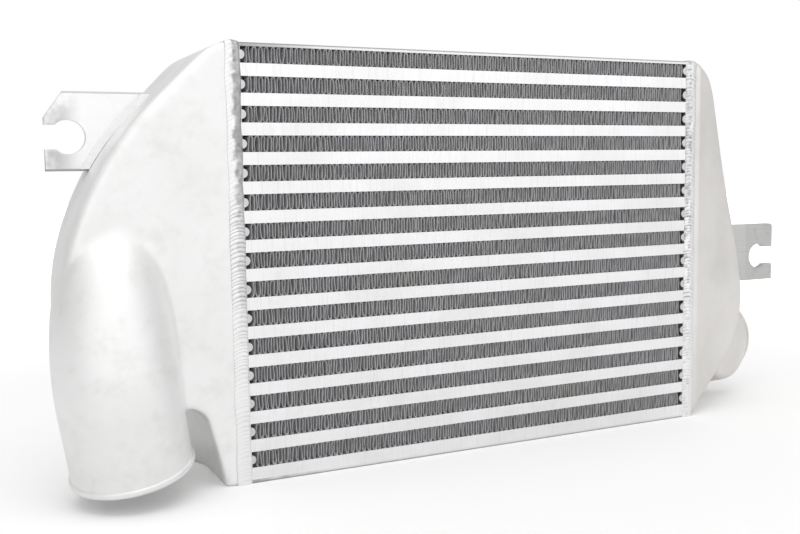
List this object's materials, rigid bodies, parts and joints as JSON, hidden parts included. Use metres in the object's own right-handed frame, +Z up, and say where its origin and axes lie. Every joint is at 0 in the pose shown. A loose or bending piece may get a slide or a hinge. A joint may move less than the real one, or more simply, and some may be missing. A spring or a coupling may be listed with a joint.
{
  "type": "intercooler",
  "caption": "Charge air cooler with a bar-and-plate core between two cast end tanks, hose ports at the lower ends and a slotted mounting bracket on each tank.",
  "frame": {"origin": "underside of the core, below its middle; the core stands on this plane", "axes": "+X along the core's width towards the inlet tank, +Y rearwards, through the core with the inlet's side behind, +Z up"},
  "size_m": [0.5502, 0.1201, 0.2513],
  "materials": {
    "core_bar": "bright drawn",
    "ambient_fin": "rolled sheet",
    "inner_fin": "rolled sheet",
    "cast_tank": "satin cast",
    "weld": "rippled weld bead",
    "bracket": "sawn plate"
  },
  "bodies": {
    "root": {"ambient_fin_01": "ambient_fin", "ambient_fin_02": "ambient_fin", "ambient_fin_03": "ambient_fin", "ambient_fin_04": "ambient_fin", "ambient_fin_05": "ambient_fin", "ambient_fin_06": "ambient_fin", "ambient_fin_07": "ambient_fin", "ambient_fin_08": "ambient_fin", "ambient_fin_09": "ambient_fin", "ambient_fin_10": "ambient_fin", "ambient_fin_11": "ambient_fin", "ambient_fin_12": "ambient_fin", "ambient_fin_13": "ambient_fin", "ambient_fin_14": "ambient_fin", "ambient_fin_15": "ambient_fin", "bottom_side_plate": "core_bar", "charge_tube_01": "core_bar", "charge_tube_02": "core_bar", "charge_tube_03": "core_bar", "charge_tube_04": "core_bar", "charge_tube_05": "core_bar", "charge_tube_06": "core_bar", "charge_tube_07": "core_bar", "charge_tube_08": "core_bar", "charge_tube_09": "core_bar", "charge_tube_10": "core_bar", "charge_tube_11": "core_bar", "charge_tube_12": "core_bar", "charge_tube_13": "core_bar", "charge_tube_14": "core_bar", "charge_tube_15": "core_bar", "left_bracket": "bracket", "left_bracket_weld": "weld", "left_end_bars": "core_bar", "left_tank": "cast_tank", "left_tank_weld": "weld", "right_bracket": "bracket", "right_bracket_weld": "weld", "right_end_bars": "core_bar", "right_tank": "cast_tank", "right_tank_weld": "weld", "top_side_plate": "core_bar", "turbulator_01": "inner_fin", "turbulator_02": "inner_fin", "turbulator_03": "inner_fin", "turbulator_04": "inner_fin", "turbulator_05": "inner_fin", "turbulator_06": "inner_fin", "turbulator_07": "inner_fin", "turbulator_08": "inner_fin", "turbulator_09": "inner_fin", "turbulator_10": "inner_fin", "turbulator_11": "inner_fin", "turbulator_12": "inner_fin", "turbulator_13": "inner_fin", "turbulator_14": "inner_fin", "turbulator_15": "inner_fin"}
  },
  "joints": []
}
